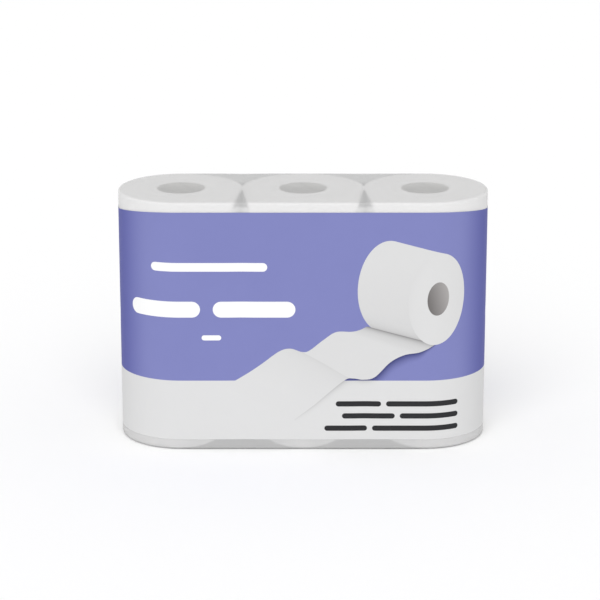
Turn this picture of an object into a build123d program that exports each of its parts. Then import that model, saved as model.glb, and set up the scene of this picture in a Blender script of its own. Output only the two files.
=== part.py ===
"""Six toilet rolls, three wide and two high, standing on end in a sealed film wrap.

Origin: centre of the base, where the pack stands.  +X runs along the three rolls, +Y to the back
seam of the wrap and +Z up.  Millimetres.
"""

import os

from build123d import *

# Rolls: as tall as a sheet is wide, and pressed a little flat where they meet.
ROLL_HEIGHT = 101.0
ROLL_DIAMETER = 99.6
ROLL_PITCH = 97.0
ROLL_GAP = 0.1
ROLL_RIM_RADIUS = 2.5

# The wrap pulls the upper rolls square at the front, so only a narrow wedge stays open between.
WEDGE_HALF_WIDTH = 5.6
WEDGE_START = 2.0
FRONT_CORNER_RADIUS = 4.0

# Cores: tubes of wound board that the tissue is wound on.
CORE_DIAMETER = 38.4
CORE_WALL = 0.6
CORE_GAP = 0.05

# Wrap: one sheet of film, closed by a lap seam up the back and by flaps folded under the base.
FILM_WALL = 0.3
FILM_SLACK = 0.1
FILM_RIM_RADIUS = 3.0
SEAM_WIDTH = 12.0
FLAP_LAP = 6.0

# Sizes that follow from those above.
ROLL_RADIUS = ROLL_DIAMETER / 2
ROLL_FLAT = (ROLL_PITCH - ROLL_GAP) / 2
WRAP_DEPTH = ROLL_DIAMETER + 2 * (FILM_SLACK + FILM_WALL)
WRAP_LENGTH = 2 * ROLL_PITCH + WRAP_DEPTH
BASE_TOP = 2 * FILM_WALL
LOWER_ROLL_Z = BASE_TOP + FILM_SLACK
UPPER_ROLL_Z = LOWER_ROLL_Z + ROLL_HEIGHT
WRAP_TOP = UPPER_ROLL_Z + ROLL_HEIGHT + FILM_SLACK + FILM_WALL

# Each column's place along X, and the sides, -1 left and +1 right, where it meets a neighbour.
COLUMNS = {
    "left": (-ROLL_PITCH, (1,)),
    "middle": (0.0, (-1, 1)),
    "right": (ROLL_PITCH, (-1,)),
}
ROWS = {"lower": LOWER_ROLL_Z, "upper": UPPER_ROLL_Z}


def square_front(side):
    """Fill out one front quarter of a roll's round section, as far as the wedge between rolls."""
    wedge_mouth = (side * (ROLL_FLAT - WEDGE_HALF_WIDTH), -ROLL_RADIUS)
    with BuildSketch(mode=Mode.PRIVATE) as quarter:
        with BuildLine():
            Polyline(
                (0, 0),
                (side * ROLL_FLAT, 0),
                (side * ROLL_FLAT, -WEDGE_START),
                wedge_mouth,
                (0, -ROLL_RADIUS),
                close=True,
            )
        make_face()
        fillet(quarter.vertices().sort_by_distance(wedge_mouth)[0], FRONT_CORNER_RADIUS)
    return quarter.sketch


def round_ended_block(inset, low, high):
    """A block with the wrap's round-ended plan, inset all round, with soft rims top and bottom."""
    with BuildPart(mode=Mode.PRIVATE) as block:
        with BuildSketch(Plane.XY.offset(low)):
            SlotOverall(WRAP_LENGTH - 2 * inset, WRAP_DEPTH - 2 * inset)
        extrude(amount=high - low)
        fillet(block.faces().filter_by(Axis.Z).edges(), FILM_RIM_RADIUS - inset)
    return block.part


def save(piece, name):
    """Label one finished piece and write it to its own file."""
    piece.label = name
    export_step(piece, f"parts/{name}.step")
    size = piece.bounding_box().size
    print(f"{name}: {size.X:.1f} x {size.Y:.1f} x {size.Z:.1f} mm")


os.makedirs("parts", exist_ok=True)

with BuildPart() as film_wrap:
    # The film itself: a closed shell round all six rolls.
    add(round_ended_block(0, FILM_WALL, WRAP_TOP))
    add(round_ended_block(FILM_WALL, BASE_TOP, WRAP_TOP - FILM_WALL), mode=Mode.SUBTRACT)

    # Base: the back flap is folded last, and laps over the front flap along the middle.
    with BuildSketch(Plane.XY):
        SlotOverall(WRAP_LENGTH - 2 * FILM_RIM_RADIUS, WRAP_DEPTH - 2 * FILM_RIM_RADIUS)
        with Locations((0, WRAP_DEPTH / 2 - FLAP_LAP)):
            Rectangle(WRAP_LENGTH, WRAP_DEPTH, mode=Mode.INTERSECT)
    extrude(amount=FILM_WALL)

    # Back: the lap seam that closes the film into a tube, welded from rim to rim.
    with BuildSketch(Plane.XZ.offset(-WRAP_DEPTH / 2)):
        with Locations((0, (FILM_WALL + WRAP_TOP) / 2)):
            Rectangle(SEAM_WIDTH, WRAP_TOP - FILM_WALL - 2 * FILM_RIM_RADIUS)
    extrude(amount=-FILM_WALL)

save(film_wrap.part, "film_wrap")

for row, roll_z in ROWS.items():
    for column, (roll_x, neighbours) in COLUMNS.items():
        with BuildPart() as tissue_roll:
            # The wound tissue: round, or squared at the front, and flat against its neighbours.
            with BuildSketch(Plane((roll_x, 0, roll_z))):
                Circle(ROLL_RADIUS)
                if row == "upper":
                    for side in neighbours:
                        add(square_front(side))
                for side in neighbours:
                    with Locations((side * (ROLL_FLAT + ROLL_RADIUS), 0)):
                        Rectangle(ROLL_DIAMETER, 2 * ROLL_DIAMETER, mode=Mode.SUBTRACT)
            extrude(amount=ROLL_HEIGHT)
            fillet(tissue_roll.faces().filter_by(Axis.Z).edges(), ROLL_RIM_RADIUS)
            with Locations((roll_x, 0, roll_z + ROLL_HEIGHT)):
                Hole(CORE_DIAMETER / 2 + CORE_GAP, ROLL_HEIGHT)

        with BuildPart() as core_tube:
            # The board tube, cut flush with both ends of its roll.
            with BuildSketch(Plane((roll_x, 0, roll_z))):
                Circle(CORE_DIAMETER / 2)
                Circle(CORE_DIAMETER / 2 - CORE_WALL, mode=Mode.SUBTRACT)
            extrude(amount=ROLL_HEIGHT)

        save(tissue_roll.part, f"tissue_roll_{row}_{column}")
        save(core_tube.part, f"core_tube_{row}_{column}")
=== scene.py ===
import bmesh
import bpy
import numpy as np
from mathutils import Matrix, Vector


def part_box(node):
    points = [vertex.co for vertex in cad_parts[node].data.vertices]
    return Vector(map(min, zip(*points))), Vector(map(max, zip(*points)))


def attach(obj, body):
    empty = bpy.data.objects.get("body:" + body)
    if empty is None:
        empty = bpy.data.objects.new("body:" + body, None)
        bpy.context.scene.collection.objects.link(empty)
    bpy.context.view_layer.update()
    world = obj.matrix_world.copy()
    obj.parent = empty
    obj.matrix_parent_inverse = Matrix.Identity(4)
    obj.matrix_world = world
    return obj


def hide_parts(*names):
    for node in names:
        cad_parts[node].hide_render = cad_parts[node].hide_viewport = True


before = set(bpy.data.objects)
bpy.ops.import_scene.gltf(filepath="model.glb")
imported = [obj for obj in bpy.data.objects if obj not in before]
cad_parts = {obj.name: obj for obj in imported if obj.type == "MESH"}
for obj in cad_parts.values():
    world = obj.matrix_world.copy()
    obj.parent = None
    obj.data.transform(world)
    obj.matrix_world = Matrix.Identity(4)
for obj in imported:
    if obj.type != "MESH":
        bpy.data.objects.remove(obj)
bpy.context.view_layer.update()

# ---------------------------------------------------------------------------------------------
# Core tubes.  Each is two plies of grey board, wound on a mandrel in a spiral, glued, and
# cut flush with the roll when the long log is sawn.  Only the mouths of the upper ones show.

MM = 0.001
ROWS = ("lower", "upper")
COLUMNS = ("left", "middle", "right")
CORE_WALL = 0.6 * MM
CORE_CUT_SOFTNESS = 0.12 * MM
CORE_SEAM_RISE = 62 * MM
CORE_SEAM_HALF_WIDTH = 0.3 * MM
BOARD_FIBRE = 1.5 * MM

tube_low, tube_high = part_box("core_tube_upper_middle")
core_radius = (tube_high[0] - tube_low[0]) / 2


def linear(hex_colour):
    """Turn an sRGB hex colour into linear red, green and blue, with a full alpha."""
    srgb = np.array([int(hex_colour[i : i + 2], 16) for i in (1, 3, 5)]) / 255
    curved = ((srgb + 0.055) / 1.055) ** 2.4
    return (*np.where(srgb <= 0.04045, srgb / 12.92, curved).tolist(), 1.0)


def start_material(name, **settings):
    """Start a material from its Principled surface, and give back its tree and that node."""
    material = bpy.data.materials.new(name)
    material.use_nodes = True
    tree = material.node_tree
    surface = tree.nodes["Principled BSDF"]
    for socket, value in settings.items():
        surface.inputs[socket.replace("_", " ")].default_value = value
    return material, tree, surface


def add_node(tree, kind, settings=None, links=None):
    """Add a node, set its properties and inputs, and link its inputs from other nodes' outputs."""
    node = tree.nodes.new(kind)
    for name, value in (settings or {}).items():
        if isinstance(name, int) or name in node.inputs:
            node.inputs[name].default_value = value
        else:
            setattr(node, name, value)
    for name, source in (links or {}).items():
        tree.links.new(source, node.inputs[name])
    return node


def grid_mesh(name, places, across, along, ring_across=False, ring_along=False):
    """Join the neighbouring points of a grid, places[row, column], into quads.

    A ring joins its last row or column to its first.  across and along are the distances in
    metres that the columns and the rows lie at, with one more entry where the grid is a ring.
    They become the UV map "surface", so that a pattern can follow the piece.
    """
    rows, columns = places.shape[:2]
    row, column = np.meshgrid(
        np.arange(rows - 1 + ring_along), np.arange(columns - 1 + ring_across), indexing="ij"
    )
    corner_row = np.stack([row, row, row + 1, row + 1], axis=-1)
    corner_column = np.stack([column, column + 1, column + 1, column], axis=-1)
    corners = (corner_row % rows) * columns + corner_column % columns
    mesh = bpy.data.meshes.new(name)
    mesh.vertices.add(rows * columns)
    mesh.vertices.foreach_set("co", places.astype(np.float32).ravel())
    mesh.loops.add(corners.size)
    mesh.loops.foreach_set("vertex_index", corners.astype(np.int32).ravel())
    mesh.polygons.add(corners.size // 4)
    mesh.polygons.foreach_set("loop_start", np.arange(0, corners.size, 4, dtype=np.int32))
    mesh.polygons.foreach_set("vertices", corners.astype(np.int32).ravel())
    surface_map = mesh.uv_layers.new(name="surface")
    distances = np.stack([across[corner_column], along[corner_row]], axis=-1)
    surface_map.data.foreach_set("uv", distances.astype(np.float32).ravel())
    mesh.update(calc_edges=True)
    mesh.shade_smooth()
    return mesh


def close_up(mesh):
    """Weld the seams and poles of a closed mesh, turn its faces outward and keep its edges crisp."""
    whole = bmesh.new()
    whole.from_mesh(mesh)
    bmesh.ops.remove_doubles(whole, verts=whole.verts, dist=0.001 * MM)
    bmesh.ops.recalc_face_normals(whole, faces=whole.faces)
    whole.to_mesh(mesh)
    whole.free()
    mesh.set_sharp_from_angle(angle=np.radians(60))
    return mesh


def add_piece(name, mesh, materials):
    """Put a finished mesh in the scene as a piece of the pack, riding on its one body."""
    piece = bpy.data.objects.new(name, mesh)
    bpy.context.scene.collection.objects.link(piece)
    for material in materials:
        mesh.materials.append(material)
    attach(piece, "root")
    return piece


def core_mesh(name, low, high):
    """Carry a closed profile, up the outside and down the inside, round the tube's axis."""
    centre, soft = (low + high) / 2, CORE_CUT_SOFTNESS
    outer = (high[0] - low[0]) / 2
    inner = outer - CORE_WALL
    climb = np.linspace(low[2] + soft, high[2] - soft, 25)
    upright = np.ones_like(climb)
    radius = np.concatenate(
        [outer * upright, [outer - soft, inner + soft], inner * upright, [inner + soft, outer - soft]]
    )
    height = np.concatenate([climb, [high[2], high[2]], climb[::-1], [low[2], low[2]]])
    turn = np.linspace(0, 2 * np.pi, 97)
    x = centre[0] + radius[:, None] * np.cos(turn[:-1])
    y = centre[1] + radius[:, None] * np.sin(turn[:-1])
    places = np.stack([x, y, height[:, None] + 0 * x], axis=-1)
    ring_height = np.append(height, height[0])
    mesh = grid_mesh(name, places, turn * outer, ring_height, ring_across=True, ring_along=True)
    return close_up(mesh)


# Uncoated grey board: dull, faintly fibrous, with the butt joint of the inner ply as a
# darker line that climbs round the tube.
core_board, tree, surface = start_material("spiral wound core board", Roughness=0.9)
place = add_node(tree, "ShaderNodeUVMap", {"uv_map": "surface"}).outputs["UV"]
split = add_node(tree, "ShaderNodeSeparateXYZ", links={"Vector": place})
turn_share = add_node(
    tree,
    "ShaderNodeMath",
    {"operation": "MULTIPLY", 1: CORE_SEAM_RISE / (2 * np.pi * core_radius)},
    {0: split.outputs["X"]},
)
climbed = add_node(
    tree,
    "ShaderNodeMath",
    {"operation": "SUBTRACT"},
    {0: split.outputs["Y"], 1: turn_share.outputs[0]},
)
from_seam = add_node(
    tree,
    "ShaderNodeMath",
    {"operation": "PINGPONG", 1: CORE_SEAM_RISE / 2},
    {0: climbed.outputs[0]},
)
seam = add_node(
    tree,
    "ShaderNodeMapRange",
    {
        "From Min": CORE_SEAM_HALF_WIDTH,
        "From Max": 3 * CORE_SEAM_HALF_WIDTH,
        "To Min": 0.72,
        "To Max": 1.0,
    },
    {"Value": from_seam.outputs[0]},
)
fibres = add_node(
    tree, "ShaderNodeTexNoise", {"Scale": 1 / BOARD_FIBRE, "Detail": 4.0}, {"Vector": place}
)
board_tint = add_node(
    tree,
    "ShaderNodeMix",
    {"data_type": "RGBA", 6: linear("#B5B3B0"), 7: linear("#CDCBC9")},
    {0: fibres.outputs["Fac"]},
)
board_colour = add_node(
    tree,
    "ShaderNodeMix",
    {"data_type": "RGBA", "blend_type": "MULTIPLY", 0: 1.0},
    {6: board_tint.outputs[2], 7: seam.outputs["Result"]},
)
tree.links.new(board_colour.outputs[2], surface.inputs["Base Color"])
board_grain = add_node(
    tree,
    "ShaderNodeBump",
    {"Strength": 0.5, "Distance": 0.05 * MM},
    {"Height": fibres.outputs["Fac"]},
)
tree.links.new(board_grain.outputs["Normal"], surface.inputs["Normal"])

for row in ROWS:
    for column in COLUMNS:
        node = f"core_tube_{row}_{column}"
        low, high = (np.array(corner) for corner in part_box(node))
        core = add_piece(f"{node}_board", core_mesh(node, low, high), [core_board])
        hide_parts(node)

# ---------------------------------------------------------------------------------------------
# Tissue rolls.  Some 34 m of embossed two-ply tissue wound on each core and sawn to width.  The
# wrap presses them flat against each other, and draws the upper ones square at the front.

CORE_GAP = 0.05 * MM
ROLL_RIM = 1.8 * MM
ROLL_GAP = 0.1 * MM
PLY_STEP = 0.15 * MM
WEDGE_HALF_WIDTH = 5.6 * MM
WEDGE_START = 2.0 * MM
OUTLINE_SOFTNESS = np.radians(1.1)
TAIL_TURN = {"left": 2.2, "middle": 1.9, "right": 1.3}  # radians round the roll, from the right
NEIGHBOURS = {"left": (1,), "middle": (-1, 1), "right": (-1,)}

roll_low, roll_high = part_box("tissue_roll_upper_middle")
roll_radius = (roll_high[1] - roll_low[1]) / 2


def roll_outline(turn, flat, neighbours, squared):
    """How far a roll's skin is from its axis at each turn: the nearest of a few walls.

    The walls are the round skin, a plane where it meets a neighbour, and, where the wrap draws it
    square, the front plane and the side of the wedge in place of the round skin.  The outline is
    then softened by a Gaussian filter round the turn.
    """
    ahead, sideways = -np.sin(turn), np.cos(turn)
    reach = np.full_like(turn, roll_radius)
    depth = roll_radius - WEDGE_START
    slope = np.hypot(WEDGE_HALF_WIDTH, depth)
    for side in neighbours:
        outward = np.clip(side * sideways, 1e-9, None)
        if squared:
            front = roll_radius / np.clip(ahead, 1e-9, None)
            wedge_out = outward * depth / slope + ahead * WEDGE_HALF_WIDTH / slope
            wedge = (flat * depth + WEDGE_START * WEDGE_HALF_WIDTH) / slope
            wedge = wedge / np.clip(wedge_out, 1e-9, None)
            quarter = (ahead > 0) & (side * sideways > 0)
            reach = np.where(quarter, np.minimum(front, wedge), reach)
        reach = np.minimum(reach, flat / outward)
    waves = np.arange(turn.size // 2 + 1)
    softened = np.fft.rfft(reach) * np.exp(-0.5 * (waves * OUTLINE_SOFTNESS) ** 2)
    return np.fft.irfft(softened, turn.size)


def roll_mesh(name, low, high, axis_x, neighbours, squared, tail_turn):
    """Carry a closed profile round the core: out below, up the skin, in on top and down the bore.

    A point of the profile is a share of the way from the bore to the skin, less an inset where the
    rim is rounded.  The skin grows by one ply over a turn and steps back at the tail of the sheet.
    """
    columns, face_rows, rim_rows, skin_rows, bore_rows = 300, 15, 7, 24, 6
    turn = np.linspace(0, 2 * np.pi, columns + 1)
    reach = {1: high[0] - axis_x, -1: axis_x - low[0]}
    flat = max(reach[side] for side in neighbours)
    skin = roll_outline(turn[:-1], flat - ROLL_GAP / 2, neighbours, squared)
    skin = skin - PLY_STEP * (1 - ((turn[:-1] - tail_turn) % (2 * np.pi)) / (2 * np.pi))
    bore = core_radius + CORE_GAP
    foot, top = low[2], high[2]
    bend = np.linspace(0, np.pi / 2, rim_rows)
    out = np.linspace(0, 1, face_rows + 1)[:-1]
    climb = np.linspace(foot + ROLL_RIM, top - ROLL_RIM, skin_rows + 2)[1:-1]
    drop = np.linspace(top, foot, bore_rows + 2)[1:-1]
    share = np.concatenate([out, np.ones(2 * rim_rows + skin_rows), out[::-1], 0 * drop])
    rounding = ROLL_RIM * (1 - np.sin(bend))
    inset = [out * ROLL_RIM, rounding, 0 * climb, rounding[::-1], out[::-1] * ROLL_RIM, 0 * drop]
    inset = np.concatenate(inset)
    rise = ROLL_RIM * (1 - np.cos(bend))
    height = [foot + 0 * out, foot + rise, climb, top - rise[::-1], top + 0 * out, drop]
    height = np.concatenate(height)
    radius = bore + share[:, None] * (skin - bore) - inset[:, None]
    x, y = axis_x + radius * np.cos(turn[:-1]), radius * np.sin(turn[:-1])
    places = np.stack([x, y, height[:, None] + 0 * x], axis=-1)
    mean_radius = bore + share * (roll_radius - bore) - inset
    steps = np.hypot(np.diff(mean_radius, append=bore), np.diff(height, append=foot))
    along = np.concatenate([[0], np.cumsum(steps)])
    mesh = grid_mesh(name, places, turn * roll_radius, along, ring_across=True, ring_along=True)
    cut_rows = np.ones(len(share), dtype=np.int32)
    mid_rim = face_rows + rim_rows // 2
    cut_rows[mid_rim : mid_rim + rim_rows + skin_rows] = 0
    mesh.polygons.foreach_set("material_index", np.repeat(cut_rows, columns))
    return close_up(mesh)


# Embossed tissue: matt and white, with a lattice of small pillows pressed in over its crepe.
EMBOSS_PITCH = 6 * MM
EMBOSS_DEPTH = 0.25 * MM
CREPE = 0.9 * MM
tissue_skin, tree, surface = start_material("embossed two-ply tissue", Roughness=0.95)
place = add_node(tree, "ShaderNodeUVMap", {"uv_map": "surface"}).outputs["UV"]
split = add_node(tree, "ShaderNodeSeparateXYZ", links={"Vector": place})
swells = []
for axis in ("X", "Y"):
    phase = add_node(
        tree,
        "ShaderNodeMath",
        {"operation": "MULTIPLY", 1: 2 * np.pi / EMBOSS_PITCH},
        {0: split.outputs[axis]},
    )
    swells.append(add_node(tree, "ShaderNodeMath", {"operation": "SINE"}, {0: phase.outputs[0]}))
pillows = add_node(
    tree,
    "ShaderNodeMath",
    {"operation": "MULTIPLY"},
    {0: swells[0].outputs[0], 1: swells[1].outputs[0]},
)
crepe = add_node(
    tree, "ShaderNodeTexNoise", {"Scale": 1 / CREPE, "Detail": 5.0}, {"Vector": place}
)
relief = add_node(
    tree,
    "ShaderNodeMath",
    {"operation": "MULTIPLY_ADD", 1: 0.6},
    {0: pillows.outputs[0], 2: crepe.outputs["Fac"]},
)
pressed = add_node(
    tree,
    "ShaderNodeBump",
    {"Strength": 0.6, "Distance": EMBOSS_DEPTH},
    {"Height": relief.outputs[0]},
)
tree.links.new(pressed.outputs["Normal"], surface.inputs["Normal"])
tissue_tint = add_node(
    tree,
    "ShaderNodeMix",
    {"data_type": "RGBA", 6: linear("#E2E1E1"), 7: linear("#EDECEC")},
    {0: crepe.outputs["Fac"]},
)
tree.links.new(tissue_tint.outputs[2], surface.inputs["Base Color"])

# Sawn ends: the edges of some hundred and sixty turns, drawn coarser than the real 0.2 mm so
# that the winding shows, a few of them standing proud or tinted by shade.
TURN_PITCH = 0.8 * MM
TIGHT_BAND = 4.5 * MM
tissue_ends, tree, surface = start_material("sawn ends of wound tissue", Roughness=1.0)
place = add_node(tree, "ShaderNodeUVMap", {"uv_map": "surface"}).outputs["UV"]
wound = add_node(
    tree,
    "ShaderNodeMapping",
    {"Scale": (1 / (60 * MM), 1 / TURN_PITCH, 1.0)},
    {"Vector": place},
)
turns = add_node(
    tree,
    "ShaderNodeTexNoise",
    {"Scale": 1.0, "Detail": 3.0, "Roughness": 0.6},
    {"Vector": wound.outputs[0]},
)
bands = add_node(
    tree,
    "ShaderNodeMapping",
    {"Scale": (1 / (90 * MM), 1 / TIGHT_BAND, 1.0)},
    {"Vector": place},
)
tight_bands = add_node(
    tree, "ShaderNodeTexNoise", {"Scale": 1.0, "Detail": 2.0}, {"Vector": bands.outputs[0]}
)
both = add_node(
    tree,
    "ShaderNodeMath",
    {"operation": "MULTIPLY_ADD", 1: 0.6},
    {0: tight_bands.outputs["Fac"], 2: turns.outputs["Fac"]},
)
shade = add_node(
    tree,
    "ShaderNodeMapRange",
    {"From Min": 0.45, "From Max": 1.15},
    {"Value": both.outputs[0]},
)
# The ends are greyer than the skin, partly as painted shade that darkens the top of the pack.
end_tone_and_shade = add_node(
    tree,
    "ShaderNodeMix",
    {"data_type": "RGBA", 6: linear("#CDCCCC"), 7: linear("#E4E3E3")},
    {0: shade.outputs["Result"]},
)
tree.links.new(end_tone_and_shade.outputs[2], surface.inputs["Base Color"])
layered = add_node(
    tree,
    "ShaderNodeBump",
    {"Strength": 0.5, "Distance": 0.3 * MM},
    {"Height": both.outputs[0]},
)
tree.links.new(layered.outputs["Normal"], surface.inputs["Normal"])

for row in ROWS:
    for column in COLUMNS:
        node = f"tissue_roll_{row}_{column}"
        low, high = (np.array(corner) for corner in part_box(node))
        core_low, core_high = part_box(f"core_tube_{row}_{column}")
        axis_x = (core_low[0] + core_high[0]) / 2
        mesh = roll_mesh(
            node, low, high, axis_x, NEIGHBOURS[column], row == "upper", TAIL_TURN[column]
        )
        roll = add_piece(f"{node}_wound", mesh, [tissue_skin, tissue_ends])
        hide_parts(node)

# ---------------------------------------------------------------------------------------------
# Film wrap.  One sheet of thin polyethylene, printed in two flat inks and left clear at the top
# and the foot.  It is lapped and welded up the back, and folded into welded flaps under the base.

FILM_RIM = 2.0 * MM
FLAP_STEP = 0.3 * MM
FLAP_LAP = 6 * MM
SEAM_HALF_WIDTH = 6 * MM
SEAM_STEP = 0.25 * MM
PRINT_FOOT = 8.6 * MM
WHITE_TOP = 57.8 * MM
PRINT_TOP = 195.1 * MM
PRINT_TOP_DIP = 8.5 * MM
INK_SLOTS = (3, 1, 2, 0)  # the folded film, white ink, lilac ink and clear film, from the foot up
FRONT_GAP_DIP, BACK_GAP_DIP = 0.4 * MM, 0.9 * MM
JOIN_DIP = 0.1 * MM
PLEAT_HEIGHT = 0.08 * MM
MOUTH_DIP = 0.9 * MM
MOUTH_CREASE = 0.05 * MM

film_low, film_high = (np.array(corner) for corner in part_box("film_wrap"))
half_depth = -film_low[1]
straight = film_high[0] - half_depth
wrap_top = film_high[2]
half_girth = 2 * straight + np.pi * half_depth
roll_join = (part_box("tissue_roll_lower_middle")[1][2] + roll_low[2]) / 2
gap_x = straight / 2


def girth_place(girth):
    """Where a distance round the wrap falls, from the middle of the front, positive to the right.

    It gives the foot of the wall's normal on the line through the three roll axes, and that
    normal: straight ahead along the front, turning round the end roll, then straight behind.
    """
    side, far = np.sign(girth), np.abs(girth)
    bend = np.clip((far - straight) / half_depth, 0, np.pi)
    axis_x = side * (np.minimum(far, straight) - np.maximum(far - straight - np.pi * half_depth, 0))
    return axis_x, side * np.sin(bend), -np.cos(bend)


def wall_swell(girth, height):
    """How far the film stands out of its plain shape, in metres: a sum of small dips and gathers.

    It sinks between the rolls and where the upper rolls stand on the lower, gathers into short
    upright pleats at the rims of the round ends, and carries the lap of the back seam.
    """
    axis_x, _, facing = girth_place(girth)
    front, back = np.clip(-facing, 0, 1) ** 6, np.clip(facing, 0, 1) ** 6
    middle = np.clip(np.minimum(height, wrap_top - height) / (14 * MM), 0, 1)
    from_gap = np.abs(axis_x) - gap_x
    swell = -FRONT_GAP_DIP * np.exp(-((from_gap / (8 * MM)) ** 2)) * front
    swell = swell - BACK_GAP_DIP * np.exp(-((from_gap / (13 * MM)) ** 2)) * back
    swell = swell * (0.3 + 0.7 * middle)
    swell = swell - JOIN_DIP * np.exp(-(((height - roll_join) / (6 * MM)) ** 2))
    pleats = np.sin(girth / (1.1 * MM)) + 0.6 * np.sin(girth / (1.73 * MM) + 1)
    near_rim = np.exp((height - wrap_top) / (6 * MM)) + 1.4 * np.exp(-height / (8 * MM))
    swell = swell + PLEAT_HEIGHT * pleats * (1 - np.abs(facing)) * near_rim
    on_seam = (half_girth - np.abs(girth) < SEAM_HALF_WIDTH + 0.01 * MM) * (facing > 0.5)
    return swell + SEAM_STEP * on_seam


def top_relief(x, y):
    """How far the film over the roll ends stands off the level, in metres.

    It sinks into each core's mouth as a round dish, is drawn into faint creases that run out from
    there, and sinks into the gaps between the rolls, as a trough that widens away from the middle.
    """
    relief = np.zeros_like(x)
    for axis_x in (-straight, 0, straight):
        from_axis, turn = np.hypot(x - axis_x, y), np.arctan2(y, x - axis_x)
        relief = relief - MOUTH_DIP * np.clip(1 - (from_axis / core_radius) ** 2, 0, 1) ** 1.5
        beside_mouth = np.exp(-(((from_axis - core_radius) / (7 * MM)) ** 2))
        relief = relief + MOUTH_CREASE * np.cos(7 * turn + axis_x / MM) * beside_mouth
    for toward, open_most, deepest in ((1, 24 * MM, 0.2 * MM), (-1, 5.6 * MM, 0.3 * MM)):
        away = np.clip((toward * y - 4 * MM) / half_depth, 0, 1)
        half_open = open_most * away ** (2 if toward > 0 else 1) + 1 * MM
        trough = np.clip(1 - ((np.abs(x) - gap_x) / half_open) ** 2, 0, 1) ** 1.5
        relief = relief - deepest * trough * away
    return relief


def base_relief(x, y):
    """Height of the folded film under the pack, in metres: the back flap lies lowest.

    The front flap is one fold higher, and the round ends are tucked in as pleats that fan out
    from the end roll's axis and rise off the level.
    """
    front_flap = np.clip((-FLAP_LAP - y) / (0.3 * MM), 0, 1)
    fan, from_axis = np.arctan2(y, np.abs(x) - straight), np.hypot(np.abs(x) - straight, y)
    at_end = np.clip((np.abs(x) - straight) / (12 * MM), 0, 1)
    folds = np.abs(np.sin(9 * fan + 0.4 * np.sin(3 * fan))) * from_axis / half_depth
    return FLAP_STEP * front_flap * (1 - at_end) + 0.25 * MM * folds * at_end


def film_mesh():
    """Carry a profile round the wrap: out under the base, up the wall and in over the top.

    A row of the profile is a distance from the line through the roll axes and a height.  Rows
    lie on the edges of the print, so that each ink is a field of whole faces.  The print's upper
    edge dips round the ends by one less the cosine of the turn, softened where that is nought.
    """
    lap_edges = half_girth - SEAM_HALF_WIDTH - np.array([0, 0.25]) * MM
    even = np.linspace(-half_girth, half_girth, 421)[:-1]
    girth = np.sort(np.concatenate([even, lap_edges, -lap_edges]))
    axis_x, normal_x, normal_y = girth_place(girth)
    level = np.ones_like(girth)
    share = np.linspace(0, 1, 25)[:, None] ** 0.85
    bend = np.linspace(0, np.pi / 2, 6)[:, None]
    inner = half_depth - FILM_RIM
    print_top = PRINT_TOP - PRINT_TOP_DIP * (1 - np.sqrt(0.96 * normal_y**2 + 0.04))

    def rows_up(low, high, count):
        """Level rows up the wall from one height to another, without the first."""
        return low + np.linspace(0, 1, count + 1)[1:, None] * (high - low)

    climbs = [
        rows_up(FILM_RIM * level, PRINT_FOOT * level, 4),
        rows_up(PRINT_FOOT * level, WHITE_TOP * level, 22),
        rows_up(WHITE_TOP * level, print_top, 60),
        rows_up(print_top, (wrap_top - FILM_RIM) * level, 5)[:-1],
    ]
    wall = np.concatenate(climbs)
    out = np.concatenate(
        [
            share[:-1] * inner * level,
            (inner + FILM_RIM * np.sin(bend)) * level,
            half_depth * np.ones_like(wall),
            (inner + FILM_RIM * np.sin(bend[::-1])) * level,
            share[-2::-1] * inner * level,
        ]
    )
    up = np.concatenate(
        [
            0 * share[:-1] * level,
            FILM_RIM * (1 - np.cos(bend)) * level,
            wall,
            wrap_top - FILM_RIM * (1 - np.cos(bend[::-1])) * level,
            wrap_top * np.ones_like(share[:-1]) * level,
        ]
    )
    below_print = len(share) - 1 + len(bend) + len(climbs[0]) - 1
    white_rows, lilac_rows = len(climbs[1]), len(climbs[2])
    above_print = len(out) - 1 - below_print - white_rows - lilac_rows
    ink = np.repeat(INK_SLOTS, [below_print, white_rows, lilac_rows, above_print])
    upright = np.clip((out - inner) / FILM_RIM, 0, 1)
    out = out + wall_swell(girth, up) * upright
    x, y = axis_x + normal_x * out, normal_y * out
    relief = np.where(up < wrap_top / 2, base_relief(x, y), top_relief(x, y))
    places = np.stack([x, y, up + relief * (1 - upright**3)], axis=-1)
    steps = np.hypot(np.diff(up.mean(1)), np.diff(out.mean(1)))
    along = np.concatenate([[0], np.cumsum(steps)])
    across = np.append(girth, girth[0] + 2 * half_girth)
    mesh = grid_mesh("film_wrap_skin", places, across, along, ring_across=True)
    mesh.polygons.foreach_set("material_index", np.repeat(ink, len(girth)).astype(np.int32))
    return close_up(mesh)


def round_film(tree):
    """Distance round the wrap from the middle of the front, in metres, the same to either side."""
    place = add_node(tree, "ShaderNodeUVMap", {"uv_map": "surface"})
    split = add_node(tree, "ShaderNodeSeparateXYZ", links={"Vector": place.outputs["UV"]})
    far = add_node(tree, "ShaderNodeMath", {"operation": "ABSOLUTE"}, {0: split.outputs["X"]})
    return far.outputs[0]


FOLD_SPAN, CREASE_SPAN = 22 * MM, 30 * MM
PUCKER_LENGTH, PUCKER_HEIGHT = 45 * MM, 7 * MM
FOLD_DEPTH = 0.6 * MM


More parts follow.
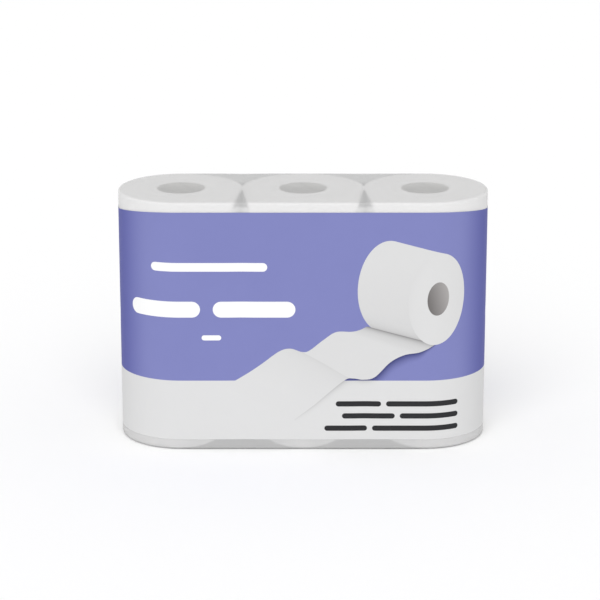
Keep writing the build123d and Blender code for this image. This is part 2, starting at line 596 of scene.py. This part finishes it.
def creased_film(tree, surface, strength, far=None):
    """Give a film its slack: soft folds a finger wide, and fine creases that run over them.

    Given the distance round the wrap, level puckers are added that fade away from the back seam.
    """
    place = add_node(tree, "ShaderNodeTexCoord").outputs["Object"]
    folds = add_node(
        tree,
        "ShaderNodeTexNoise",
        {"Scale": 1 / FOLD_SPAN, "Detail": 2.0, "Distortion": 0.8},
        {"Vector": place},
    )
    creases = add_node(
        tree,
        "ShaderNodeTexNoise",
        {"noise_type": "RIDGED_MULTIFRACTAL", "Scale": 1 / CREASE_SPAN, "Detail": 3.0},
        {"Vector": place},
    )
    slack = add_node(
        tree,
        "ShaderNodeMath",
        {"operation": "MULTIPLY_ADD", 1: 0.12},
        {0: creases.outputs["Fac"], 2: folds.outputs["Fac"]},
    )
    if far:
        level = add_node(
            tree,
            "ShaderNodeMapping",
            {"Scale": (1 / PUCKER_LENGTH, 1 / PUCKER_LENGTH, 1 / PUCKER_HEIGHT)},
            {"Vector": place},
        )
        puckers = add_node(
            tree,
            "ShaderNodeTexNoise",
            {"Scale": 1.0, "Detail": 2.0, "Distortion": 0.4},
            {"Vector": level.outputs[0]},
        )
        near_seam = add_node(
            tree,
            "ShaderNodeMapRange",
            {
                "interpolation_type": "SMOOTHSTEP",
                "From Min": half_girth - 60 * MM,
                "From Max": half_girth - 4 * MM,
                "To Max": 2.2,
            },
            {"Value": far},
        )
        slack = add_node(
            tree,
            "ShaderNodeMath",
            {"operation": "MULTIPLY_ADD"},
            {0: puckers.outputs["Fac"], 1: near_seam.outputs["Result"], 2: slack.outputs[0]},
        )
    bump = add_node(
        tree,
        "ShaderNodeBump",
        {"Strength": strength, "Distance": FOLD_DEPTH},
        {"Height": slack.outputs[0]},
    )
    tree.links.new(bump.outputs["Normal"], surface.inputs["Normal"])


def mottled_ink(tree, surface, dark, light):
    """Let an ink's colour drift between two near tones over a few centimetres, as flat print does."""
    place = add_node(tree, "ShaderNodeTexCoord").outputs["Object"]
    mottle = add_node(
        tree, "ShaderNodeTexNoise", {"Scale": 1 / (35 * MM), "Detail": 3.0}, {"Vector": place}
    )
    tint = add_node(
        tree,
        "ShaderNodeMix",
        {"data_type": "RGBA", 6: linear(dark), 7: linear(light)},
        {0: mottle.outputs["Fac"]},
    )
    tree.links.new(tint.outputs[2], surface.inputs["Base Color"])
    return tint.outputs[2]


# Clear film: polyethylene, milky where it lies on the tissue, with a soft gloss.
clear_film, tree, surface = start_material(
    "clear polyethylene film", Base_Color=linear("#F3F3F3"), Roughness=0.38, Alpha=0.42
)
creased_film(tree, surface, 0.3)

# Folded film: the same, more opaque where the foot is gathered in folds, greyer as painted shade.
shaded_folded_film, tree, surface = start_material(
    "folded clear polyethylene film, painted shade", Base_Color=linear("#DADADA"), Roughness=0.4, Alpha=0.6
)
creased_film(tree, surface, 0.4)

# White ink, printed on the film as a dull, even coat.  Both inks look a little deeper along the
# back seam, where the film lies double.
WHITE = "#D6D6D6"
SEAM_WHITE = "#CACACA"
INK_GLOSS = {"Roughness": 0.48, "Specular_IOR_Level": 0.06}


def doubled_at_seam(tree, surface, far, colour, deeper):
    """Turn an ink to its deeper colour over the lap, with soft edges, and give it to the surface."""
    on_seam = add_node(
        tree,
        "ShaderNodeMapRange",
        {
            "From Min": half_girth - SEAM_HALF_WIDTH - 0.5 * MM,
            "From Max": half_girth - SEAM_HALF_WIDTH + 0.3 * MM,
        },
        {"Value": far},
    )
    tint = add_node(
        tree,
        "ShaderNodeMix",
        {"data_type": "RGBA", 7: linear(deeper)},
        {0: on_seam.outputs["Result"], 6: colour},
    )
    tree.links.new(tint.outputs[2], surface.inputs["Base Color"])


white_ink, tree, surface = start_material("white printed film", **INK_GLOSS)
far = round_film(tree)
creased_film(tree, surface, 0.2, far)
flat_white = mottled_ink(tree, surface, "#D5D5D5", "#D7D7D7")
doubled_at_seam(tree, surface, far, flat_white, SEAM_WHITE)

# Lilac blue ink, with painted shade on the two round ends: deeper towards the middle of each end.
LILAC = "#7E82B8"
SHADED_END_LILAC = "#595DA1"
SEAM_LILAC = "#7075AF"
lilac_ink, tree, surface = start_material("lilac blue printed film", **INK_GLOSS)
far = round_film(tree)
creased_film(tree, surface, 0.2, far)
flat_lilac = mottled_ink(tree, surface, "#7C80B6", "#8084BA")
from_end = add_node(
    tree,
    "ShaderNodeMath",
    {"operation": "SUBTRACT", 1: straight + np.pi / 2 * half_depth},
    {0: far},
)
from_end = add_node(tree, "ShaderNodeMath", {"operation": "ABSOLUTE"}, {0: from_end.outputs[0]})
# Painted shade: the share of the deeper lilac, rising to full towards the middle of each end.
end_shade = add_node(
    tree,
    "ShaderNodeMapRange",
    {"interpolation_type": "SMOOTHSTEP", "From Min": 55 * MM, "From Max": 14 * MM},
    {"Value": from_end.outputs[0]},
)
end_shaded_lilac = add_node(
    tree,
    "ShaderNodeMix",
    {"data_type": "RGBA", 7: linear(SHADED_END_LILAC)},
    {0: end_shade.outputs["Result"], 6: flat_lilac},
)
doubled_at_seam(tree, surface, far, end_shaded_lilac.outputs[2], SEAM_LILAC)

film = add_piece(
    "film_wrap_skin", film_mesh(), [clear_film, white_ink, lilac_ink, shaded_folded_film]
)
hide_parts("film_wrap")

# ---------------------------------------------------------------------------------------------
# Slack film.  Where the top of the wrap spans the gaps between the rolls, its slack is tucked
# down between them as a web, nearly level behind and falling away in the wedge at the front.
# At the foot of each gap the gathered end of the film stands behind the wall as another web.
# The webs are grey: they carry the painted shade of the gaps between the rolls.

WEB_THICKNESS = 0.1 * MM
WEB_DEPTH = 0.5 * MM
WEB_FALL = 6 * MM
WEB_TURN_DOWN = 8 * MM
WEB_LAP = 1.2 * MM
TOUCH_SPAN, TOUCH_DIP = 10 * MM, 1.3 * MM


def wafer_mesh(name, front, back, tone=1.0, ring=False):
    """Join a front and a back grid of places, alike in shape, into a thin closed sheet.

    The grids are joined round their borders by walls.  Where they are rings, their first row is
    a pole and the wall stands round their last.  Each point keeps its tone, 0 to 1.
    """
    shade = np.clip(tone * np.ones(front.shape[:2]), 0, 1)
    if not ring:
        middle = (front + back) / 2
        front = np.concatenate([middle[:, :1], front, middle[:, -1:]], axis=1)
        back = np.concatenate([middle[:, :1], back, middle[:, -1:]], axis=1)
        shade = np.concatenate([shade[:, :1], shade, shade[:, -1:]], axis=1)
    places = np.concatenate([front, back[::-1]])
    across = np.arange(places.shape[1] + ring) * MM
    along = np.arange(places.shape[0] + (not ring)) * MM
    mesh = grid_mesh(name, places, across, along, ring_across=ring, ring_along=not ring)
    kept = mesh.attributes.new("tone", "FLOAT", "POINT")
    kept.data.foreach_set("value", np.concatenate([shade, shade[::-1]]).astype(np.float32).ravel())
    return close_up(mesh)


def toned_film(name, dark, light, slack=0.2):
    """A film or an ink in tones between two colours, by the tone kept at the mesh's own points."""
    material, tree, surface = start_material(name, **INK_GLOSS)
    tone = add_node(tree, "ShaderNodeAttribute", {"attribute_name": "tone"})
    tint = add_node(
        tree,
        "ShaderNodeMix",
        {"data_type": "RGBA", 6: linear(dark), 7: linear(light)},
        {0: tone.outputs["Fac"]},
    )
    tree.links.new(tint.outputs[2], surface.inputs["Base Color"])
    creased_film(tree, surface, slack)
    return material


def web_places(middle_x, inward):
    """Span a gap from roll to roll along a path that runs forward over it and then down its front.

    The half width is half the pitch less the roll's half chord behind, and a straight wedge
    ahead, and a lap under the rolls' rims.  The height follows the film's rounded rim behind,
    dips where the rolls touch, and falls ever faster ahead.
    """
    y = np.linspace(half_depth - 0.5 * MM, 1.2 * MM - half_depth, 120)
    down = np.concatenate([0 * y, np.linspace(0, WEB_TURN_DOWN, 9)[1:]])[:, None]
    y = np.concatenate([y, np.full(8, y[-1])])[:, None]
    chord = np.sqrt(np.clip(roll_radius**2 - y**2, 0, None))
    behind = gap_x - np.minimum(chord, gap_x - ROLL_GAP / 2)
    ahead = WEDGE_HALF_WIDTH * np.clip((-y - WEDGE_START) / (roll_radius - WEDGE_START), 0, 1)
    rolls_touch = np.exp(-((y / TOUCH_SPAN) ** 2))
    half_width = np.where(y > 0, behind, ahead) + WEB_LAP * (1 - 0.8 * rolls_touch)
    past_rim = np.clip(y - (half_depth - FILM_RIM), 0, FILM_RIM)
    fall = FILM_RIM - np.sqrt(FILM_RIM**2 - past_rim**2) + TOUCH_DIP * rolls_touch
    fall = WEB_DEPTH + fall + WEB_FALL * np.clip(-y / half_depth, 0, 1) ** 1.5
    over = np.linspace(-1, 1, 25)
    x = middle_x + half_width * over
    height = wrap_top + top_relief(x, y + 0 * x) - fall - down
    return np.stack([x, y + 0 * x + inward * (down > 0), height - inward * (down == 0)], axis=-1)


# The webs carry painted shade: grey for the shade between the rolls, darkest along the fold
# down the middle of the wedge and at the narrow end of the gap, and paling where they meet
# the tissue in front.
slack_shade_film = toned_film("slack film web in painted shade", "#666666", "#DEDEDE", 0.8)
for side, middle_x in (("left", -gap_x), ("right", gap_x)):
    name = f"film_slack_shade_web_{side}"
    front, back = web_places(middle_x, 0), web_places(middle_x, WEB_THICKNESS)
    y, out = front[..., 1], np.abs(np.linspace(-1, 1, 25))
    in_front = np.clip((-y - half_depth + 9.5 * MM) / (4 * MM), 0, 1)
    behind = 0.62 - 0.3 * np.exp(-(((y - 13 * MM) / (5 * MM)) ** 2))
    tone = np.where(y > 0, behind, 0.16 + 0.35 * out) * (1 - in_front)
    tone = tone + in_front * (0.62 + 0.55 * out)
    tone = np.maximum(tone, np.clip((7 * MM - np.abs(y - 4 * MM)) / (2.5 * MM), 0, 1))
    add_piece(name, wafer_mesh(name, front, back, tone), [slack_shade_film])


FOOT_WEB_SETBACK = 0.9 * MM
FOOT_WEB_LOW = 0.6 * MM
CLEAR_OF_AXIS = 1 * MM


def foot_web_places(middle_girth, inward):
    """Stand the tucked end of the film, grey with painted shade, just inside the wall at a gap's foot.

    Its lower rows lie under an edge that climbs with the rolls' set back from the wall, up to
    the print; its upper rows fill the rest of the height, against the rolls.
    """
    over = np.linspace(-1, 1, 121)
    half_span = gap_x - CLEAR_OF_AXIS
    chord = np.sqrt(roll_radius**2 - ((1 - np.abs(over)) * half_span) ** 2)
    edge = np.minimum(0.92 * (roll_radius - chord) + 1.3 * MM, PRINT_FOOT + 1 * MM)
    share = np.linspace(0, 1, 7)[:, None]
    below = FOOT_WEB_LOW + share * (edge - FOOT_WEB_LOW)
    above = edge + 0.05 * MM + share * (PRINT_FOOT + 1.5 * MM - edge)
    height = np.concatenate([below, above])
    girth = middle_girth + over * half_span + 0 * height
    axis_x, normal_x, normal_y = girth_place(girth)
    out = half_depth - FOOT_WEB_SETBACK - inward
    tuck_under = FILM_RIM - np.sqrt(np.clip(FILM_RIM**2 - (FILM_RIM - height) ** 2, 0, None))
    out = out - np.where(height < FILM_RIM, tuck_under, 0)
    return np.stack([axis_x + normal_x * out, normal_y * out, height], axis=-1)


# Painted shade: the lower rows carry the dark of the gap below the edge, and the upper rows are
# pale like the film lying on the rolls above it.
foot_shade_tone = np.repeat([0.0, 1.0], 7)[:, None]
at_gaps = {"left": -gap_x, "right": gap_x}
at_gaps["back_left"], at_gaps["back_right"] = gap_x - half_girth, half_girth - gap_x
for side, middle_girth in at_gaps.items():
    name = f"film_foot_shade_web_{side}"
    front, back = (foot_web_places(middle_girth, inward) for inward in (0, WEB_THICKNESS))
    add_piece(name, wafer_mesh(name, front, back, foot_shade_tone), [slack_shade_film])

# ---------------------------------------------------------------------------------------------
# Printed picture.  A plain roll of tissue with its sheet trailing off to the left and fading
# into the white ink.  Each part is a thin patch of ink on the film, one over the other.

INK_STEP = 0.04 * MM
INK_DEPTH = 0.1 * MM


def ink_patch(name, girth, height, tone, layer, material, ring=False):
    """Lay a grid of ink on the film's wall as a wafer, with a tone, 0 to 1, at each of its points."""
    axis_x, normal_x, normal_y = girth_place(girth)
    faces = []
    for lift in (layer * INK_STEP, -INK_DEPTH):
        out = half_depth + wall_swell(girth, height) + lift
        faces.append(np.stack([axis_x + normal_x * out, normal_y * out, height], axis=-1))
    return add_piece(name, wafer_mesh(name, *faces, tone, ring), [material])


def through(points, share):
    """A smooth curve through a few points, given in mm: a Catmull-Rom spline, share 0 to 1 along it."""
    points = np.array(points, dtype=float) * MM
    ends = np.concatenate([[2 * points[0] - points[1]], points, [2 * points[-1] - points[-2]]])
    at = np.clip(share, 0, 1) * (len(points) - 1)
    step = np.minimum(at.astype(int), len(points) - 2)
    t = (at - step)[:, None]
    before, start, end, after = (ends[step + k] for k in range(4))
    return 0.5 * (
        2 * start
        + (end - before) * t
        + (2 * before - 5 * start + 4 * end - after) * t**2
        + (3 * start - before - 3 * end + after) * t**3
    ).T


# Picture inks, as dull as the fields they lie on: one from mid grey up to the white ink's own
# colour, for paper and its shade, and one from deep lilac up to the lilac ink's, for a shadow.
paper_ink = toned_film("soft white picture ink", "#8C8B8B", WHITE)
shadow_ink = toned_film("lilac shadow picture ink", "#3C3F72", LILAC)
# Grey ink for the inside of the core, warm and darker to one side, so that it looks hollow.
mouth_ink = toned_film("grey picture ink", "#6E6B6A", "#A6A3A2")

# The two long edges of the trailing sheet, in mm round the film and up, point by point across
# from each other, from under the roll to its loose end.  It humps, dips to a crease, humps again
# and runs out.  The crease starts at the sixth of the eleven steps.
UPPER_EDGE = [(50.5, 102.6), (44.5, 99.6), (38, 98.3), (26, 98), (16, 91.5), (5, 82.8)]
UPPER_EDGE += [(-1, 81.7), (-10, 84.4), (-19, 82), (-33, 71.5), (-46, 62.5), (-62, 53)]
LOWER_EDGE = [(105, 88), (98, 83.8), (91, 81), (80, 79), (69, 73), (57, 60.8)]
LOWER_EDGE += [(48, 58.5), (40, 59.6), (34, 58.8), (23, 50), (9, 37.6), (-7, 25.2)]
share = np.linspace(0, 1, 161) ** 1.3
over = np.linspace(0, 1, 41)[:, None]
upper, lower = through(UPPER_EDGE, share), through(LOWER_EDGE, share)
girth = lower[0] + over * (upper[0] - lower[0])
height = lower[1] + over * (upper[1] - lower[1])
beside_roll = np.exp(-share / 0.035)
under_roll = 1 / (1 + np.exp((share - 0.19) / 0.02))
past_crease = share - (6 + 1.6 * (1 - over)) / 11
in_crease = np.exp(-np.abs(past_crease) / np.where(past_crease > 0, 0.1, 0.004))
runs_out = np.clip((share - 0.6) / 0.3, 0, 1)
tone = 0.95 - 0.94 * beside_roll - 0.1 * under_roll + 0.05 * runs_out
tone = tone - (0.12 + 0.05 * over) * in_crease
ink_patch("printed_trailing_sheet", girth, height, tone, 3 - 2.6 * runs_out, paper_ink)

# Soft shadows that the sheet throws from its lower edge: on the lilac, then on the white.
fall = np.linspace(0, 1, 13)[:, None]
drop = np.interp(share, np.linspace(0, 0.8, 9), [1, 3, 7, 9, 9, 8, 7, 6, 6]) * MM
near = share < 0.735
girth = lower[0] + fall * drop * 0.3
height = np.maximum(lower[1] - fall * drop, WHITE_TOP)
tone = 1 - (1 - fall) ** 1.6
ink_patch("printed_shadow_on_lilac", girth[:, near], height[:, near], tone, 1, shadow_ink)

drop = np.interp(share, [0.5, 0.6, 0.7, 0.9, 1.0], [6, 8, 8, 5, 3]) * MM
far_down = share > 0.42
girth = lower[0] + fall * drop * 0.5
height = np.minimum(lower[1] - fall * drop * 0.85, WHITE_TOP)
strength = np.interp(share[far_down], [0.7, 0.86, 0.94, 1.0], [0.66, 0.36, 0.3, 0.16])
tone = 1 - strength * np.exp(-2.2 * fall) * (1 - fall)
ink_patch("printed_shadow_on_white", girth[:, far_down], height[:, far_down], tone, 1, paper_ink)

# The pictured roll, in mm round the film and up.  Its near end, its far end and its core's mouth
# are leaning ovals, and its side is the hull of the two ends.
OVAL_LEAN = np.radians(6)
NEAR_END, FAR_END = np.array([105.9, 124.6]), np.array([66.0, 135.2])
END_HALF_WIDTH, END_HALF_HEIGHT = 22.9, 37.4
MOUTH, MOUTH_HALF_WIDTH, MOUTH_HALF_HEIGHT = np.array([106.4, 125.0]), 8.6, 13.6
around = np.linspace(0, 2 * np.pi, 181)[:-1]
lean_across = np.array([np.cos(OVAL_LEAN), -np.sin(OVAL_LEAN)])
lean_up = np.array([np.sin(OVAL_LEAN), np.cos(OVAL_LEAN)])


def filled(centre, rim):
    """Rows of points from a centre out to a rim, in mm, as distances round the film and heights."""
    return (centre + np.linspace(0, 1, 13)[:, None, None] * (rim - centre)).transpose(2, 0, 1) * MM


def leaning_oval(centre, half_width, half_height):
    """The rim of an oval that leans to the right: two half axes turned by the lean."""
    across = half_width * np.cos(around)[:, None] * lean_across
    return centre + across + half_height * np.sin(around)[:, None] * lean_up


rim_normal = np.cos(around)[:, None] / END_HALF_WIDTH * lean_across
rim_normal = rim_normal + np.sin(around)[:, None] / END_HALF_HEIGHT * lean_up
faces_near = (rim_normal @ (NEAR_END - FAR_END) > 0)[:, None]
hull = leaning_oval(np.where(faces_near, NEAR_END, FAR_END), END_HALF_WIDTH, END_HALF_HEIGHT)
hull = np.concatenate([hull, hull[:1]])
walked = np.concatenate([[0], np.cumsum(np.hypot(*np.diff(hull, axis=0).T))])
even = np.linspace(0, walked[-1], 241)[:-1]
hull = np.stack([np.interp(even, walked, hull[:, k]) for k in (0, 1)], axis=-1)
girth, height = filled((NEAR_END + FAR_END) / 2, hull)
above_sheet = height / MM - 98 + 0.265 * (girth / MM - 62)
tone = 0.87 + 0.09 * np.clip((height / MM - 95) / 60, 0, 1) - 0.5 * np.exp(-above_sheet / 3)
ink_patch("printed_roll_side", girth, height, tone, 2, paper_ink, ring=True)

girth, height = filled(NEAR_END, leaning_oval(NEAR_END, END_HALF_WIDTH, END_HALF_HEIGHT))
tone = 0.98 - 0.05 * np.clip(-np.cos(around), 0, 1) * np.linspace(0, 1, 13)[:, None] ** 6
ink_patch("printed_roll_end", girth, height, tone, 4, paper_ink, ring=True)

girth, height = filled(MOUTH, leaning_oval(MOUTH, MOUTH_HALF_WIDTH, MOUTH_HALF_HEIGHT))
tone = 0.5 + 0.5 * np.cos(around - 0.5) * np.linspace(0, 1, 13)[:, None]
ink_patch("printed_core_mouth", girth, height, tone, 5, mouth_ink, ring=True)

# ---------------------------------------------------------------------------------------------
# Plain bars.  Rounded strokes of flat ink stand where a pack carries lettering, and say nothing.

# Flat inks, dull and even: one a little brighter than the pack's white, one nearly black.
light_ink = toned_film("bright white bar ink", "#F0F0F0", "#F4F4F4")
dark_ink = toned_film("dark grey bar ink", "#2E2E30", "#343436")


def plain_bar(name, left, right, middle, thickness, material):
    """A stroke with round ends: its half height is constant, then falls off as a half circle."""
    half, run = thickness / 2, (right - left) / 2
    from_middle = run * np.sin(np.linspace(-np.pi / 2, np.pi / 2, 41))
    into_end = np.clip((np.abs(from_middle) - (run - half)) / half, 0, 1)
    half_height = half * np.sqrt(1 - 0.999 * into_end**2)
    over = np.linspace(-1, 1, 7)[:, None]
    girth = ((left + right) / 2 + from_middle) * MM * np.ones_like(over)
    ink_patch(name, girth, (middle + over * half_height) * MM, 0.5, 1, material)


# Each bar's left end, right end, middle height and thickness, in mm round the film and up.
LIGHT_BARS = [
    (-120, -28, 151, 7.0),
    (-140, -81, 116.5, 13.0),
    (-71, -6, 116.5, 13.0),
    (-80, -64.5, 93.3, 4.2),
]
DARK_BARS = [
    (26, 62, 38.4, 4.4),
    (66, 124.6, 38.4, 4.4),
    (31, 73, 28.3, 4.4),
    (77, 124.8, 28.3, 4.4),
    (17, 51, 18.0, 4.4),
    (55, 125, 18.0, 4.4),
]
for number, (left, right, middle, thickness) in enumerate(LIGHT_BARS):
    plain_bar(f"printed_light_bar_{number}", left, right, middle, thickness, light_ink)
for number, (left, right, middle, thickness) in enumerate(DARK_BARS):
    plain_bar(f"printed_dark_bar_{number}", left, right, middle, thickness, dark_ink)

# ---------------------------------------------------------------------------------------------
# Studio.  A pale floor, an even pale surround and one broad soft light from the upper front.

FLOOR_HALF = 6.0
CAMERA_TILT = np.radians(16.29)
floor_mesh = bpy.data.meshes.new("floor")
corners = [(x * FLOOR_HALF, y * FLOOR_HALF, 0) for x, y in ((-1, -1), (1, -1), (1, 1), (-1, 1))]
floor_mesh.from_pydata(corners, [], [(0, 1, 2, 3)])
floor = bpy.data.objects.new("floor", floor_mesh)
bpy.context.scene.collection.objects.link(floor)
# Matt white paper, with hardly a gloss, so that nothing but the soft shadow is seen on it.
floor_paper, _, _ = start_material(
    "matt white floor", Base_Color=linear("#FDFDFD"), Roughness=0.9, Specular_IOR_Level=0.1
)
floor_mesh.materials.append(floor_paper)

world = bpy.data.worlds.new("pale surround")
world.use_nodes = True
world.node_tree.nodes["Background"].inputs["Color"].default_value = (1, 1, 1, 1)
world.node_tree.nodes["Background"].inputs["Strength"].default_value = 0.74
bpy.context.scene.world = world

toward_light = Vector((-0.08, -0.7, 0.71))
softbox = bpy.data.lights.new("broad soft light", "SUN")
softbox.energy = 1.27
softbox.angle = np.radians(50)
light = bpy.data.objects.new("broad soft light", softbox)
light.rotation_euler = toward_light.to_track_quat("Z", "Y").to_euler()
bpy.context.scene.collection.objects.link(light)

# A long lens, straight ahead of the pack and a little above it, looking down.
camera_data = bpy.data.cameras.new("camera")
camera_data.sensor_width = 36
camera_data.lens = 147.3
camera = bpy.data.objects.new("camera", camera_data)
bpy.context.scene.collection.objects.link(camera)
camera.location = (-0.0024, -1.9, 0.665)
camera.rotation_euler = (np.pi / 2 - CAMERA_TILT, 0, 0)
bpy.context.scene.camera = camera
bpy.context.scene.view_settings.view_transform = "Standard"
